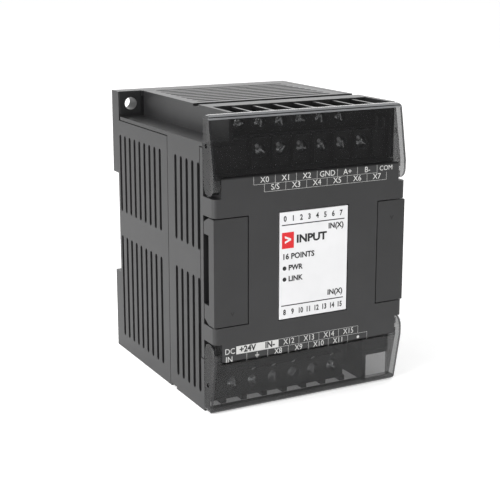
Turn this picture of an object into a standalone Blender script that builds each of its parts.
"""Sixteen-point input module for a 35 mm rail, modelled as its separate pieces.

Frame: +X right, +Y back (towards the rail), +Z up.  The origin is the centre of the
bounding box's bottom face.  Every value below is in millimetres; meshes are in metres.
"""
import math

import bmesh
import bpy
from mathutils import Matrix, Vector

MM = 0.001
GAP = 0.3                      # clearance kept between neighbouring pieces
OVERRUN = 1.0                  # how far a cutting tool runs past the face it opens

# ---- outside of the casing
HALF_W = 35.0
HEIGHT = 95.0
FRONT = -41.0
BACK = 41.0
WALL = 2.0
SEAM = -7.3                    # rear end of the front housing's side walls
PARTITION = 1.5                # thickness of inner walls

# ---- fascia and the two cover openings above and below it
FASCIA_TOP = 76.2
FASCIA_BOTTOM = 17.6
SHELF = 2.0
EDGE_CHAMFER = 0.6
COVER_REAR = -34.0             # rear edge of the terminal covers
SHOULDER = COVER_REAR + GAP    # front end of the full-width side walls
NECK_HALF_W = 32.3             # casing between the cover arms

# ---- diagonal screwdriver channels (top left and bottom right)
CHANNEL_W = 9.0
CHANNEL_H = 8.7
CHANNEL_SKIN = 1.2
EAR_DEPTH = 6.6
EAR_HOLE_R = 2.25
EAR_SEAT = 0.4                 # height of the screw seat around each ear's hole
EAR_SEAT_EDGE = 0.4            # border left around the seat

# ---- ventilation
SLOT_W = 1.7
SLOT_RUN = 2 * WALL
REAR_SLOTS = 9
REAR_SLOT_FIRST = 33.8
REAR_SLOT_PITCH = 4.35
FRONT_SLOTS = 5
FRONT_SLOT_FIRST = -13.5
FRONT_SLOT_PITCH = 4.25
SLOT_SPANS = ((5.5, 43.3), (52.2, 79.9))
LOUVRES = 9
LOUVRE_FIRST = 30.6
LOUVRE_PITCH = 4.3
LOUVRE_X = (-22.5, 28.5)
LIP_Y = -19.0                  # front edge of the louvred roof
LIP_STEP = (-12.0, -8.0)
LIP_STEP_DEPTH = 0.8

# ---- rail channel and latch
RAIL_FLOOR = 36.2
CHANNEL_Z = (29.0, 65.8)
BACK_WALL = 2.5
REAR_BOX = 33.7                # where the rear frame of the back shell begins
HOOK_X = (8.0, 20.0)
HOOK_Z = (63.6, 67.0)
HOOK_Y = (37.6, 40.0)
LATCH_WIDE = 7.0
LATCH_NARROW = 4.5
LATCH_Y = (37.3, 38.9, 40.7)
LATCH_Z = (0.6, 28.7)
LATCH_NOSE_Z = 31.8
GUIDE_HALF_W = 9.5             # block that the latch slides in
PEG_HALF_W = 1.4
WINDOW_HALF_W = 1.9
SPRING_WINDOW_Z = (6.0, 20.0)
PEG_Z = (6.3, 8.0)
SPRING_TURNS = 7
SPRING_R = 1.1
WIRE_R = 0.25

# ---- terminal blocks: two staggered tiers of six
PITCH = 7.5
TIER_COUNT = 6
FRONT_TIER_X = -13.75
FRONT_TIER_Z = 82.0
FRONT_TIER_Y = -31.7
BACK_TIER_X = -17.5
BACK_TIER_Z = 89.6
BACK_TIER_Y = -24.2
BLOCK_REAR = -16.9
BLOCK_X = (-24.2, 32.7)
BLOCK_TOP = 92.6
STEP_Z = 86.0
FIN_T = 1.0
FIN_FRONT = -33.3
FIN_RISE = 0.8                 # how far the front fins stand above their tier
FIN_ROOT = 0.6                 # how deep outer fins and noses are sunk into the block
FIN_TOP = 94.6                 # the fins between the rear terminals rise almost to the roof
LOWER_FRONT_Z = 88.5           # the lower block is its own moulding: its front tier is the outer one
LOWER_BACK_Z = 81.1            # (heights of the lower block are given before its half turn)
LOWER_STEP_Z = (84.3, 93.2)
LOWER_STEP_X = (-18.0, 32.7)
NOSE_W = 2.0                   # short guide noses between the lower wire entries
NOSE_Y = (-32.2, -28.0)
NOSE_END = 94.4
SCREW_R = 1.9
SCREW_HOLE_R = 2.25
SCREW_HOLE_DEPTH = 5.4
SCREW_HEAD_T = 1.5
SHANK_R = 1.2
SHANK_END = 4.8
ENTRY = (4.6, 4.2)             # wire entry: width and depth
ENTRY_SET = 1.5                # how far behind a tier's face its entries begin
ENTRY_DOWN = 3.0               # how far the entry of a front tier reaches in
LOWER_ENTRY_DOWN = 2.4
BACK_ENTRY_DOWN = 1.2

# ---- terminal covers
COVER_T = 1.4
COVER_SIDE_T = 1.2
COVER_TOP_FRONT = -37.6
ARM_R = 3.5
ARM_LIP = 2.4
PIVOT_Y = -39.2
PIVOT_DROP = 2.4               # pivot height below the cover's free edge
PIN_R = 0.8
PIN_END = 31.0
COVER_GAP = 0.4
ARM_SEAT = ARM_R + PIVOT_DROP + COVER_GAP

# ---- plug-in caps over the bus connectors, and the label
CAP_Z = (29.5, 63.7)
CAP_LEFT_W = 11.7
CAP_RIGHT_W = 10.5
CAP_T = 1.5
CAP_REAR = -34.0
CAP_CHAMFER = 1.6
CABLE_Z = (35.9, 58.2)
CABLE_DEPTH = 3.3
LABEL_X = (-12.1, 12.9)
LABEL_Z = (29.0, 63.7)
LABEL_T = 1.0
LABEL_RECESS = 1.3
LABEL_SEAT = 2.0               # rim of fascia that the label rests on
BAY_FRAME = 2.0

# ---- circuit boards
BOARD_T = 1.6
DISPLAY_BOARD_Y = -31.9
IO_BOARD_Y = -16.4
POWER_BOARD_Y = 8.0
BOARD_HALF_W = 31.3
BOARD_LEDGE_X = 30.3           # inner edge of the ribs that the boards rest on
BOARD_LEDGE_Z = (14.0, 80.0)
LEDGE_T = 1.5
POST_X = (-18.5, 19.5)         # posts from the fascia to the display board
POST_Z = (27.8, 66.0)
POST_R = 1.3
HEADER_Z = (37.0, 57.0)
HEADER_X = (26.3, 31.5)
HEADER_FRONT = -38.6
HEADER_REAR = DISPLAY_BOARD_Y - GAP
HEADER_SKIN = 0.8


# ------------------------------------------------------------------ modelling helpers
def clear_scene():
    for thing in list(bpy.data.objects):
        bpy.data.objects.remove(thing, do_unlink=True)


def plastic(name, colour, roughness, metallic=0.0):
    material = bpy.data.materials.new(name)
    material.use_nodes = True
    shader = material.node_tree.nodes["Principled BSDF"]
    shader.inputs["Base Color"].default_value = (*colour, 1.0)
    shader.inputs["Roughness"].default_value = roughness
    shader.inputs["Metallic"].default_value = metallic
    material.diffuse_color = (*colour, 1.0)
    return material


def as_object(name, shape):
    bmesh.ops.recalc_face_normals(shape, faces=shape.faces)
    mesh = bpy.data.meshes.new(name)
    shape.to_mesh(mesh)
    shape.free()
    thing = bpy.data.objects.new(name, mesh)
    bpy.context.scene.collection.objects.link(thing)
    return thing


def slab(x, y, z):
    """A rectangular block from three (low, high) pairs."""
    shape = bmesh.new()
    bmesh.ops.create_cube(shape, size=1.0)
    size = Vector((x[1] - x[0], y[1] - y[0], z[1] - z[0])) * MM
    centre = Vector((x[1] + x[0], y[1] + y[0], z[1] + z[0])) * MM / 2
    bmesh.ops.transform(shape, matrix=Matrix.Translation(centre) @ Matrix.Diagonal(size).to_4x4(),
                        verts=shape.verts)
    return as_object("slab", shape)


def extrude_outline(points, axis, span):
    """Extrude a closed outline along X, Y or Z; the points lie in the other two axes."""
    shape = bmesh.new()
    place = {"X": lambda a, b: (span[0], a, b),
             "Y": lambda a, b: (a, span[0], b),
             "Z": lambda a, b: (a, b, span[0])}[axis]
    face = shape.faces.new([shape.verts.new(Vector(place(a, b)) * MM) for a, b in points])
    grown = bmesh.ops.extrude_face_region(shape, geom=[face])
    shift = Vector([(span[1] - span[0]) * MM if axis == name else 0.0 for name in "XYZ"])
    moved = [item for item in grown["geom"] if isinstance(item, bmesh.types.BMVert)]
    bmesh.ops.translate(shape, vec=shift, verts=moved)
    return as_object("prism", shape)


def arc(centre, radius, start, end, steps):
    """Points along an arc, angles in degrees."""
    angles = [math.radians(start + (end - start) * i / steps) for i in range(steps + 1)]
    return [(centre[0] + radius * math.cos(a), centre[1] + radius * math.sin(a)) for a in angles]


def rod(axis, centre, radius, span, sides=16):
    """A round bar along one axis; centre is given in the other two axes."""
    return extrude_outline(arc(centre, radius, 0, 360 - 360 / sides, sides - 1), axis, span)


def long_slot(axis, centre, span, width, depth, upright=True):
    """A slot with round ends; an upright one runs along the outline's second axis."""
    half = width / 2
    points = arc((0, span[1] - half), half, 0, 180, 4) + arc((0, span[0] + half), half, 180, 360, 4)
    outline = [(centre + a, b) if upright else (b, centre + a) for a, b in points]
    return extrude_outline(outline, axis, depth)


def combine(target, tools, operation):
    """Join or cut with a group of temporary tool objects, then delete them."""
    if not tools:
        return
    group = bpy.data.collections.new("tools")
    bpy.context.scene.collection.children.link(group)
    for tool in tools:
        group.objects.link(tool)
    modifier = target.modifiers.new(operation.lower(), "BOOLEAN")
    modifier.operation = operation
    modifier.operand_type = "COLLECTION"
    modifier.collection = group
    modifier.solver = "EXACT"
    graph = bpy.context.evaluated_depsgraph_get()
    made = bpy.data.meshes.new_from_object(target.evaluated_get(graph))
    target.modifiers.clear()
    target.data = made
    for tool in tools:
        bpy.data.objects.remove(tool, do_unlink=True)
    bpy.data.collections.remove(group)


def piece(name, solids, cuts, material, origin=(0.0, 0.0, 0.0), smooth=False):
    """Build one closed sub-part and put its origin where it turns or slides."""
    body = solids[0]
    combine(body, solids[1:], "UNION")
    combine(body, cuts, "DIFFERENCE")
    shift = Vector(origin) * MM
    body.data.transform(Matrix.Translation(-shift))
    body.location = shift
    body.name = name
    body.data.name = name
    body.data.materials.clear()
    body.data.materials.append(material)
    if smooth:
        body.data.shade_smooth()
        body.data.set_sharp_from_angle(angle=math.radians(35))
    return body


def turned(x, y, z, flip):
    """The same block, or its copy after half a turn about the module's Y centre line."""
    if not flip:
        return slab(x, y, z)
    return slab((-x[1], -x[0]), y, (HEIGHT - z[1], HEIGHT - z[0]))


# ------------------------------------------------------------------ casing
def side_slots(first, pitch, count):
    """Ventilation slots through both side walls."""
    tools = []
    for side in (-1, 1):
        wall = sorted((side * (HALF_W - SLOT_RUN), side * (HALF_W + OVERRUN)))
        for low, high in SLOT_SPANS:
            row = (low, high) if side < 0 else (HEIGHT - high, HEIGHT - low)
            for i in range(count):
                tools.append(long_slot("X", first - i * pitch, row, SLOT_W, wall))
    return tools


def louvre_slots(flip):
    """Long slots across the roof, or across the floor after half a turn."""
    level = (-OVERRUN, 3 * WALL) if flip else (HEIGHT - 3 * WALL, HEIGHT + OVERRUN)
    reach = (-LOUVRE_X[1], -LOUVRE_X[0]) if flip else LOUVRE_X
    return [long_slot("Z", LOUVRE_FIRST - i * LOUVRE_PITCH, reach, SLOT_W, level, upright=False)
            for i in range(LOUVRES)]


def channel_walls(flip):
    """Floor ledge and inner wall of one screwdriver channel."""
    inner = -HALF_W + CHANNEL_W
    ledge = HEIGHT - CHANNEL_H
    along = (SHOULDER, REAR_BOX - GAP)
    return [turned((-HALF_W, inner + PARTITION), along, (ledge - CHANNEL_SKIN, ledge), flip),
            turned((inner, inner + PARTITION), along, (ledge - CHANNEL_SKIN, HEIGHT), flip)]


def housing_half(flip):
    """Roof and screwdriver channel of the front housing, or its floor and channel after half a turn."""
    inner = -HALF_W + CHANNEL_W
    rear = REAR_BOX - GAP
    return [*channel_walls(flip),
            turned((-HALF_W, -HALF_W + WALL), (SHOULDER, SEAM), (0, HEIGHT - CHANNEL_H), flip),
            turned((inner, HALF_W - WALL - GAP), (LIP_Y, rear), (HEIGHT - WALL, HEIGHT), flip),
            turned((inner, HALF_W), (LIP_Y, SEAM), (HEIGHT - WALL, HEIGHT), flip)]


def front_housing(material):
    """Front shell: side walls to the seam, louvred roof and floor, both channels."""
    solids = housing_half(False) + housing_half(True)
    for side in (-1, 1):
        solids.append(slab(sorted((side * (HALF_W - 1), side * BOARD_LEDGE_X)),
                           (IO_BOARD_Y + BOARD_T + GAP, IO_BOARD_Y + BOARD_T + GAP + LEDGE_T), BOARD_LEDGE_Z))
    cuts = side_slots(FRONT_SLOT_FIRST, FRONT_SLOT_PITCH, FRONT_SLOTS)
    cuts += louvre_slots(False) + louvre_slots(True)
    for flip in (False, True):
        panel_low = HEIGHT - FASCIA_TOP if flip else FASCIA_BOTTOM
        cuts.append(turned((-HALF_W - OVERRUN, -HALF_W + WALL + OVERRUN),
                           (SHOULDER - OVERRUN, SHOULDER + WALL + GAP),
                           (panel_low - GAP, HEIGHT - CHANNEL_H - CHANNEL_SKIN), flip))
        cuts.append(turned((-HALF_W - OVERRUN, HALF_W + OVERRUN), LIP_STEP,
                           (HEIGHT - LIP_STEP_DEPTH, HEIGHT + OVERRUN), flip))
    return piece("front_housing", solids, cuts, material)


def panel_half(flip):
    """Upper end of the front panel, or its lower end after half a turn."""
    edge = HEIGHT - FASCIA_BOTTOM if flip else FASCIA_TOP
    step = edge - ARM_SEAT
    web = (SHOULDER, SHOULDER + WALL)
    neck = (NECK_HALF_W - WALL, NECK_HALF_W)
    corner_top = HEIGHT - CHANNEL_H - CHANNEL_SKIN - GAP
    solids = [
        turned((-NECK_HALF_W, NECK_HALF_W), (FRONT, BLOCK_REAR - GAP), (edge - SHELF, edge), flip),
        turned((-HALF_W, -HALF_W + CHANNEL_W + PARTITION), web, (edge - SHELF, corner_top), flip),
    ]
    for side in (False, True):
        inside = (-neck[1], -neck[0]) if side else neck
        across = (-HALF_W, -neck[0]) if side else (neck[0], HALF_W)
        solids += [turned(inside, (FRONT, web[1]), (step - WALL, edge), flip),
                   turned(across, web, (step - WALL, edge), flip),
                   turned(across, (FRONT, web[1]), (step - WALL, step), flip)]
    return solids


def front_panel(material):
    """Snap-in panel: fascia, its two cheeks, the bays for the bus caps and both terminal shelves."""
    solids = [slab((-NECK_HALF_W, NECK_HALF_W), (FRONT, FRONT + WALL), (FASCIA_BOTTOM, FASCIA_TOP))]
    solids += panel_half(False) + panel_half(True)
    cheek = (FASCIA_BOTTOM + ARM_SEAT, FASCIA_TOP - ARM_SEAT)
    bay = (CAP_Z[0] - BAY_FRAME, CAP_Z[1] + BAY_FRAME)
    cuts = []
    for side, width in ((-1, CAP_LEFT_W), (1, CAP_RIGHT_W)):
        outer = side * HALF_W
        inner = side * (HALF_W - width - GAP)
        divider = inner - side * PARTITION
        back = (SHOULDER, SHOULDER + PARTITION)
        solids += [
            slab(sorted((outer, side * (NECK_HALF_W - WALL))), (FRONT, FRONT + WALL), cheek),
            slab(sorted((outer, outer - side * WALL)), (FRONT, SHOULDER + WALL), cheek),
            slab(sorted((inner, divider)), (FRONT, back[1]), bay),
            slab(sorted((outer, divider)), back, bay),
            slab(sorted((outer, divider)), (FRONT, back[1]), (bay[0], CAP_Z[0] - GAP)),
            slab(sorted((outer, divider)), (FRONT, back[1]), (CAP_Z[1] + GAP, bay[1])),
        ]
        cuts.append(slab(sorted((outer + side * OVERRUN, inner)), (FRONT - OVERRUN, SHOULDER),
                         (CAP_Z[0] - GAP, CAP_Z[1] + GAP)))
        header = header_x(side)
        cuts.append(slab((header[0] - GAP, header[1] + GAP), (SHOULDER - OVERRUN, SHOULDER + 3),
                         (HEADER_Z[0] - GAP, HEADER_Z[1] + GAP)))
    for x in POST_X:
        for z in POST_Z:
            solids.append(rod("Y", (x, z), POST_R, (FRONT + 1, DISPLAY_BOARD_Y - GAP), 10))
    cuts.append(slab((LABEL_X[0] - GAP, LABEL_X[1] + GAP), (FRONT - OVERRUN, FRONT + LABEL_RECESS),
                     (LABEL_Z[0] - GAP, LABEL_Z[1] + GAP)))
    cuts.append(slab((LABEL_X[0] + LABEL_SEAT, LABEL_X[1] - LABEL_SEAT), (FRONT, FRONT + 2 * WALL),
                     (LABEL_Z[0] + LABEL_SEAT, LABEL_Z[1] - LABEL_SEAT)))
    for edge, lean in ((FASCIA_TOP, -1), (FASCIA_BOTTOM, 1)):
        bevel = [(FRONT - OVERRUN, edge + lean * (EDGE_CHAMFER + OVERRUN)),
                 (FRONT - OVERRUN, edge - lean * OVERRUN), (FRONT + EDGE_CHAMFER + OVERRUN, edge - lean * OVERRUN)]
        cuts.append(extrude_outline(bevel, "X", (-HALF_W - OVERRUN, HALF_W + OVERRUN)))
    for z in (FASCIA_TOP - PIVOT_DROP, FASCIA_BOTTOM + PIVOT_DROP):
        for side in (-1, 1):
            cuts.append(rod("X", (PIVOT_Y, z), PIN_R + GAP,
                            sorted((side * (HALF_W + OVERRUN), side * (PIN_END - GAP))), 12))
    return piece("front_panel", solids, cuts, material)


def rear_housing(material):
    """Back shell: side walls behind the seam, back wall, rail channel, two screw ears."""
    rear = (REAR_BOX, BACK)
    inner = HALF_W - CHANNEL_W + GAP
    wall_top = HEIGHT - CHANNEL_H - CHANNEL_SKIN - GAP
    ledge = (POWER_BOARD_Y + BOARD_T + GAP, POWER_BOARD_Y + BOARD_T + GAP + LEDGE_T)
    solids = [slab((-HALF_W, HALF_W), (BACK - BACK_WALL, BACK), (0, HEIGHT)),
              slab((-HALF_W + 1, HALF_W - 1), rear, (CHANNEL_Z[0] - BACK_WALL, CHANNEL_Z[1] + BACK_WALL)),
              slab((-GUIDE_HALF_W, GUIDE_HALF_W), (REAR_BOX + 1, BACK), (0, CHANNEL_Z[0]))]
    for flip in (False, True):
        solids += [
            turned((-HALF_W, -HALF_W + WALL), (SEAM + GAP, BACK), (0, wall_top), flip),
            turned((-inner, HALF_W), rear, (HEIGHT - WALL, HEIGHT), flip),
            turned((-HALF_W, -inner + PARTITION), (BACK - EAR_DEPTH + EAR_SEAT, BACK),
                   (wall_top - 2 * WALL, HEIGHT), flip),
            turned((-HALF_W + EAR_SEAT_EDGE, -inner - EAR_SEAT_EDGE),
                   (BACK - EAR_DEPTH, BACK - EAR_DEPTH + EAR_SEAT + OVERRUN),
                   (HEIGHT - CHANNEL_H + 2 * EAR_SEAT_EDGE, HEIGHT - EAR_SEAT_EDGE), flip),
            turned((-HALF_W + 1, -BOARD_LEDGE_X), ledge, BOARD_LEDGE_Z, flip),
        ]
    cuts = side_slots(REAR_SLOT_FIRST, REAR_SLOT_PITCH, REAR_SLOTS)
    cuts.append(slab((-HALF_W - OVERRUN, HALF_W + OVERRUN), (RAIL_FLOOR, BACK + OVERRUN), CHANNEL_Z))
    cuts.append(slab((-LATCH_WIDE - GAP, LATCH_WIDE + GAP), (LATCH_Y[0] - GAP, LATCH_Y[1] + GAP),
                     (-OVERRUN, CHANNEL_Z[0] + OVERRUN)))
    cuts.append(slab((-LATCH_NARROW - GAP, LATCH_NARROW + GAP), (LATCH_Y[1], BACK + OVERRUN),
                     (-OVERRUN, CHANNEL_Z[0] + OVERRUN)))
    for x, z in ((-HALF_W + CHANNEL_W / 2, HEIGHT - CHANNEL_H / 2), (HALF_W - CHANNEL_W / 2, CHANNEL_H / 2)):
        cuts.append(rod("Y", (x, z), EAR_HOLE_R, (BACK - EAR_DEPTH - OVERRUN, BACK + OVERRUN), 20))
    body = piece("rear_housing", solids, cuts, material)
    extras = [slab(sorted((side * HOOK_X[0], side * HOOK_X[1])), HOOK_Y, HOOK_Z) for side in (-1, 1)]
    extras.append(slab((-PEG_HALF_W, PEG_HALF_W), (LATCH_Y[0] - 1, LATCH_Y[2] - GAP), PEG_Z))
    combine(body, extras, "UNION")
    return body


# ------------------------------------------------------------------ terminal covers
def terminal_cover(name, edge, flip, material):
    """Smoked cover: leaning front wall, top bar and two arms that turn on pins."""
    def up(z):
        return HEIGHT - z if flip else z
    low = edge + COVER_GAP
    pivot_z = edge - PIVOT_DROP
    arm_y = COVER_REAR - ARM_R
    end = arc((arm_y, pivot_z), ARM_R, 180, 360, 10)
    outline = [(COVER_REAR, HEIGHT), (COVER_TOP_FRONT, HEIGHT), (FRONT, low), *end]
    rise = HEIGHT - COVER_T
    cavity = [(COVER_REAR + OVERRUN, rise), (COVER_TOP_FRONT + COVER_T, rise),
              (FRONT + COVER_T, low), (FRONT + COVER_T, low - 20), (COVER_REAR + OVERRUN, low - 20)]
    body = extrude_outline([(y, up(z)) for y, z in outline], "X", (-HALF_W, HALF_W))
    side = HALF_W - COVER_SIDE_T
    hollow = extrude_outline([(y, up(z)) for y, z in cavity], "X", (-side, side))
    neck = HALF_W - ARM_LIP
    gate = slab((-neck, neck), (FRONT - OVERRUN, COVER_REAR + OVERRUN), sorted((up(low), up(low - 20))))
    origin = (0.0, PIVOT_Y, up(pivot_z))
    cover = piece(name, [body], [hollow, gate], material)
    pins = [rod("X", (PIVOT_Y, up(pivot_z)), PIN_R, sorted((s * (HALF_W - 0.4), s * PIN_END)), 12)
            for s in (-1, 1)]
    combine(cover, pins, "UNION")
    shift = Vector(origin) * MM
    cover.data.transform(Matrix.Translation(-shift))
    cover.location = shift
    return cover


# ------------------------------------------------------------------ terminal blocks
def tier_places(flip):
    """(label, number, x, z, face y) of the twelve terminals of a block, before any half turn."""
    front_z, back_z = (LOWER_FRONT_Z, LOWER_BACK_Z) if flip else (FRONT_TIER_Z, BACK_TIER_Z)
    front = [("front", i, FRONT_TIER_X + i * PITCH, front_z, FRONT_TIER_Y) for i in range(TIER_COUNT)]
    back = [("back", i, BACK_TIER_X + i * PITCH, back_z, BACK_TIER_Y) for i in range(TIER_COUNT)]
    return front + back


def upper_tiers(low):
    """Front tier below the rear one, with tall fins between the terminals of both."""
    solids = [turned(BLOCK_X, (FRONT_TIER_Y, BACK_TIER_Y + 1), (low, STEP_Z), False)]
    for i in range(TIER_COUNT + 1):
        x = BACK_TIER_X + i * PITCH
        fin = (x - FIN_T / 2, x + FIN_T / 2)
        solids.append(turned(fin, (FIN_FRONT, FRONT_TIER_Y + 1), (low, STEP_Z + FIN_RISE), False))
        solids.append(turned(fin, (FIN_FRONT, LIP_Y - GAP), (BLOCK_TOP - FIN_ROOT, FIN_TOP), False))
    return solids


def lower_tiers():
    """Front tier at the outer end, with a short nose beside each wire entry."""
    solids = [turned(LOWER_STEP_X, (FRONT_TIER_Y, BACK_TIER_Y + 1), LOWER_STEP_Z, True)]
    for i in range(TIER_COUNT + 1):
        x = BACK_TIER_X + i * PITCH
        nose = (x - NOSE_W / 2, x + NOSE_W / 2)
        solids.append(turned(nose, NOSE_Y, (LOWER_STEP_Z[1] - FIN_ROOT, NOSE_END), True))
    return solids


def terminal_block(name, edge, flip, material):
    """Two-tier block with screw wells, wire entries and guide fins."""
    low = edge + GAP
    solids = [turned(BLOCK_X, (BACK_TIER_Y, BLOCK_REAR), (low, BLOCK_TOP), flip)]
    solids += lower_tiers() if flip else upper_tiers(low)
    front_top, front_down = (LOWER_STEP_Z[1], LOWER_ENTRY_DOWN) if flip else (STEP_Z, ENTRY_DOWN)
    cuts = []
    for tier, _, x, z, face in tier_places(flip):
        spot = (-x, HEIGHT - z) if flip else (x, z)
        cuts.append(rod("Y", spot, SCREW_HOLE_R, (face - OVERRUN, face + SCREW_HOLE_DEPTH), 12))
        top, down = (front_top, front_down) if tier == "front" else (BLOCK_TOP, BACK_ENTRY_DOWN)
        cuts.append(turned((x - ENTRY[0] / 2, x + ENTRY[0] / 2), (face + ENTRY_SET, face + ENTRY_SET + ENTRY[1]),
                           (top - down, top + OVERRUN), flip))
    return piece(name, solids, cuts, material)


def terminal_screws(prefix, flip, material):
    """Pan-head clamp screws with a cross recess, one object for each terminal."""
    for tier, number, x, z, face in tier_places(flip):
        x, z = (-x, HEIGHT - z) if flip else (x, z)
        head = face + 0.6
        solids = [rod("Y", (x, z), SCREW_R, (head, head + SCREW_HEAD_T), 12),
                  rod("Y", (x, z), SHANK_R, (head + SCREW_HEAD_T - 0.2, face + SHANK_END), 8)]
        arm = SCREW_R * 0.72
        cuts = [slab((x - arm, x + arm), (head - OVERRUN, head + 0.7), (z - 0.3, z + 0.3)),
                slab((x - 0.3, x + 0.3), (head - OVERRUN, head + 0.7), (z - arm, z + arm))]
        piece(f"{prefix}_screw_{tier}_{number + 1}", solids, cuts, material)


# ------------------------------------------------------------------ caps, label, latch
def header_x(side):
    """Width range of a bus header on the given side."""
    return tuple(sorted((side * HEADER_X[0], side * HEADER_X[1])))


def bus_cap(name, side, width, material):
    """Corner cap that plugs over a bus header and leaves a slot for its ribbon cable."""
    outer = side * HALF_W
    inner = side * (HALF_W - width)
    chamfer = [(CAP_REAR, CAP_Z[0] + CAP_CHAMFER), (CAP_REAR, CAP_Z[1] - CAP_CHAMFER),
               (CAP_REAR - 2 * CAP_CHAMFER, CAP_Z[1]), (FRONT, CAP_Z[1]), (FRONT, CAP_Z[0]),
               (CAP_REAR - 2 * CAP_CHAMFER, CAP_Z[0])]
    body = extrude_outline(chamfer, "X", sorted((outer, inner)))
    hollow = slab(sorted((inner - side * OVERRUN, outer - side * CAP_T)),
                  (FRONT + CAP_T, CAP_REAR + OVERRUN), (CAP_Z[0] + CAP_T, CAP_Z[1] - CAP_T))
    cable = slab(sorted((outer + side * OVERRUN, outer - side * 2 * CAP_T)),
                 (CAP_REAR - CABLE_DEPTH, CAP_REAR + OVERRUN), CABLE_Z)
    return piece(name, [body], [hollow, cable], material)


def bus_header(name, side, material):
    """Shrouded ribbon-cable header."""
    x = header_x(side)
    body = slab(x, (HEADER_FRONT, HEADER_REAR), HEADER_Z)
    well = slab((x[0] + HEADER_SKIN, x[1] - HEADER_SKIN), (HEADER_FRONT - OVERRUN, HEADER_REAR - PARTITION),
                (HEADER_Z[0] + HEADER_SKIN, HEADER_Z[1] - HEADER_SKIN))
    return piece(name, [body], [well], material)


def front_label(material):
    return piece("front_label", [slab(LABEL_X, (FRONT, FRONT + LABEL_T), LABEL_Z)], [], material)


def light_guide(material):
    """Clear comb that carries the indicator light from the board to the label."""
    plate_y = (FRONT + LABEL_RECESS + 0.1, FRONT + LABEL_RECESS + 1.3)
    solids = [slab((-9.2, 10.0), plate_y, (32.5, 60.5))]
    for row in (35.0, 58.0):
        for i in range(8):
            x = -8.0 + i * 16.8 / 7
            reach = (plate_y[1] - 0.2, DISPLAY_BOARD_Y - GAP)
            solids.append(slab((x - 0.6, x + 0.6), reach, (row - 0.6, row + 0.6)))
    return piece("light_guide", solids, [], material)


def rail_latch(material):
    """Sliding foot that hooks behind the rail's lower edge."""
    nose = [(LATCH_Y[0] + 0.3, LATCH_Z[1] - 1), (LATCH_Y[0] + 0.3, LATCH_NOSE_Z),
            (LATCH_Y[0] + 1.2, LATCH_NOSE_Z), (LATCH_Y[2], LATCH_NOSE_Z - 2.0), (LATCH_Y[2], LATCH_Z[1] - 1)]
    solids = [slab((-LATCH_WIDE, LATCH_WIDE), (LATCH_Y[0], LATCH_Y[1]), LATCH_Z),
              slab((-LATCH_NARROW, LATCH_NARROW), (LATCH_Y[1] - 0.2, LATCH_Y[2]), LATCH_Z),
              extrude_outline(nose, "X", (-LATCH_NARROW, LATCH_NARROW))]
    cuts = [slab((-WINDOW_HALF_W, WINDOW_HALF_W), (LATCH_Y[0] - OVERRUN, LATCH_Y[2] + OVERRUN), SPRING_WINDOW_Z),
            slab((-3.0, 3.0), (LATCH_Y[1] + 0.4, LATCH_Y[2] + OVERRUN), (2.2, 4.2))]
    return piece("rail_latch", solids, cuts, material, origin=(0.0, LATCH_Y[1], LATCH_Z[0]))


def latch_spring(material):
    """Compression spring between the housing's peg and the latch's window."""
    low = PEG_Z[1] + GAP
    high = SPRING_WINDOW_Z[1] - GAP
    centre_y = (LATCH_Y[0] + LATCH_Y[2]) / 2
    steps = 10 * SPRING_TURNS
    curve = bpy.data.curves.new("latch_spring", "CURVE")
    curve.dimensions = "3D"
    curve.bevel_depth = WIRE_R * MM
    curve.bevel_resolution = 1
    curve.use_fill_caps = True
    path = curve.splines.new("POLY")
    path.points.add(steps)
    for i in range(steps + 1):
        angle = 2 * math.pi * SPRING_TURNS * i / steps
        rise = low + WIRE_R + (high - low - 2 * WIRE_R) * i / steps
        spot = Vector((SPRING_R * math.cos(angle), centre_y + SPRING_R * math.sin(angle), rise)) * MM
        path.points[i].co = (*spot, 1.0)
    spring = bpy.data.objects.new("latch_spring", curve)
    bpy.context.scene.collection.objects.link(spring)
    curve.materials.append(material)
    return spring


# ------------------------------------------------------------------ electronics
def board(name, face_y, outline, material):
    body = extrude_outline(outline, "Y", (face_y, face_y + BOARD_T))
    return piece(name, [body], [], material)


def notched_outline():
    """Board outline with its corners cut away for the two screwdriver channels."""
    inner = HALF_W - CHANNEL_W - PARTITION - 2 * GAP
    step = CHANNEL_H + CHANNEL_SKIN + 2 * GAP
    low, high = 3.0, HEIGHT - 3.0
    w = BOARD_HALF_W
    return [(-w, low), (inner, low), (inner, step), (w, step), (w, high), (-inner, high),
            (-inner, HEIGHT - step), (-w, HEIGHT - step)]


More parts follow.
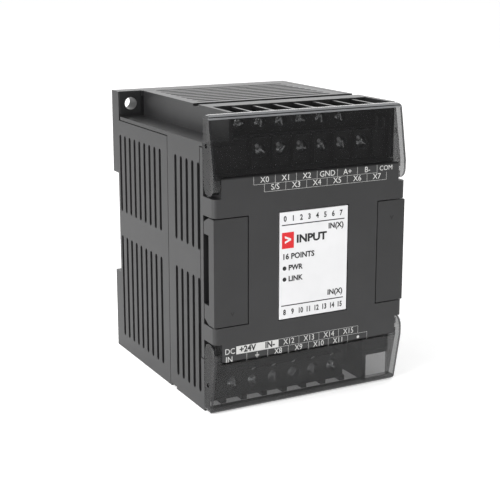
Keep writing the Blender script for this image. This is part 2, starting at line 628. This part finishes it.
def electronics(green, black, grey, can):
    """Three stacked boards, the connectors between them and their main parts."""
    half = BOARD_HALF_W
    board("display_board", DISPLAY_BOARD_Y, [(-half, 26.4), (half, 26.4), (half, 67.4), (-half, 67.4)], green)
    board("io_board", IO_BOARD_Y, notched_outline(), green)
    board("power_board", POWER_BOARD_Y, notched_outline(), green)
    display_rear = DISPLAY_BOARD_Y + BOARD_T + GAP
    io_rear = IO_BOARD_Y + BOARD_T + GAP
    piece("front_stacking_connector", [slab((-12, 12), (display_rear, IO_BOARD_Y - GAP), (30, 33.5))], [], black)
    piece("rear_stacking_connector", [slab((-15, 15), (io_rear, POWER_BOARD_Y - GAP), (20, 24))], [], black)
    piece("microcontroller", [slab((-5, 5), (display_rear, display_rear + 1.4), (44, 54))], [], black)
    for i in range(4):
        x = -22.0 + i * 14.0
        piece(f"optocoupler_{i + 1}", [slab((x - 5, x + 5), (IO_BOARD_Y - GAP - 3, IO_BOARD_Y - GAP), (58, 63))],
              [], black)
    piece("bus_transceiver", [slab((17, 22), (IO_BOARD_Y - GAP - 1.5, IO_BOARD_Y - GAP), (38, 42))], [], black)
    face = POWER_BOARD_Y - GAP
    piece("dc_converter", [slab((-24, -2), (face - 9.5, face), (48, 72))], [], grey)
    for i, z in enumerate((66.0, 52.0)):
        solids = [rod("Y", (10.0, z), 5.0, (face - 12.0, face), 20)]
        piece(f"electrolytic_capacitor_{i + 1}", solids, [], can, smooth=True)
    ring = rod("Y", (-14.0, 36.0), 6.0, (face - 6.0, face), 20)
    piece("input_choke", [ring], [rod("Y", (-14.0, 36.0), 2.6, (face - 7.0, face + 1.0), 16)], grey, smooth=True)
    piece("input_fuse", [rod("X", (face - 3.0, 36.0), 2.6, (2.0, 14.0), 14)], [], can, smooth=True)


def main():
    clear_scene()
    casing = plastic("casing", (0.062, 0.062, 0.064), 0.52)
    smoke = plastic("smoked_cover", (0.018, 0.018, 0.019), 0.12)
    black = plastic("black_plastic", (0.02, 0.02, 0.021), 0.45)
    white = plastic("label", (0.85, 0.85, 0.85), 0.4)
    clear = plastic("light_guide", (0.7, 0.75, 0.78), 0.1)
    steel = plastic("zinc_steel", (0.6, 0.6, 0.58), 0.3, 1.0)
    green = plastic("circuit_board", (0.02, 0.16, 0.07), 0.4)
    grey = plastic("component_grey", (0.2, 0.2, 0.2), 0.5)
    can = plastic("component_can", (0.5, 0.5, 0.52), 0.3, 1.0)
    rear_housing(casing)
    front_housing(casing)
    front_panel(casing)
    front_label(white)
    light_guide(clear)
    bus_cap("left_bus_cover", -1, CAP_LEFT_W, casing)
    bus_cap("right_bus_cover", 1, CAP_RIGHT_W, casing)
    bus_header("left_bus_header", -1, black)
    bus_header("right_bus_header", 1, black)
    for prefix, edge, flip in (("upper", FASCIA_TOP, False), ("lower", HEIGHT - FASCIA_BOTTOM, True)):
        terminal_cover(f"{prefix}_terminal_cover", edge, flip, smoke)
        terminal_block(f"{prefix}_terminal_block", edge, flip, black)
        terminal_screws(prefix, flip, steel)
    rail_latch(black)
    latch_spring(steel)
    electronics(green, black, grey, can)


main()
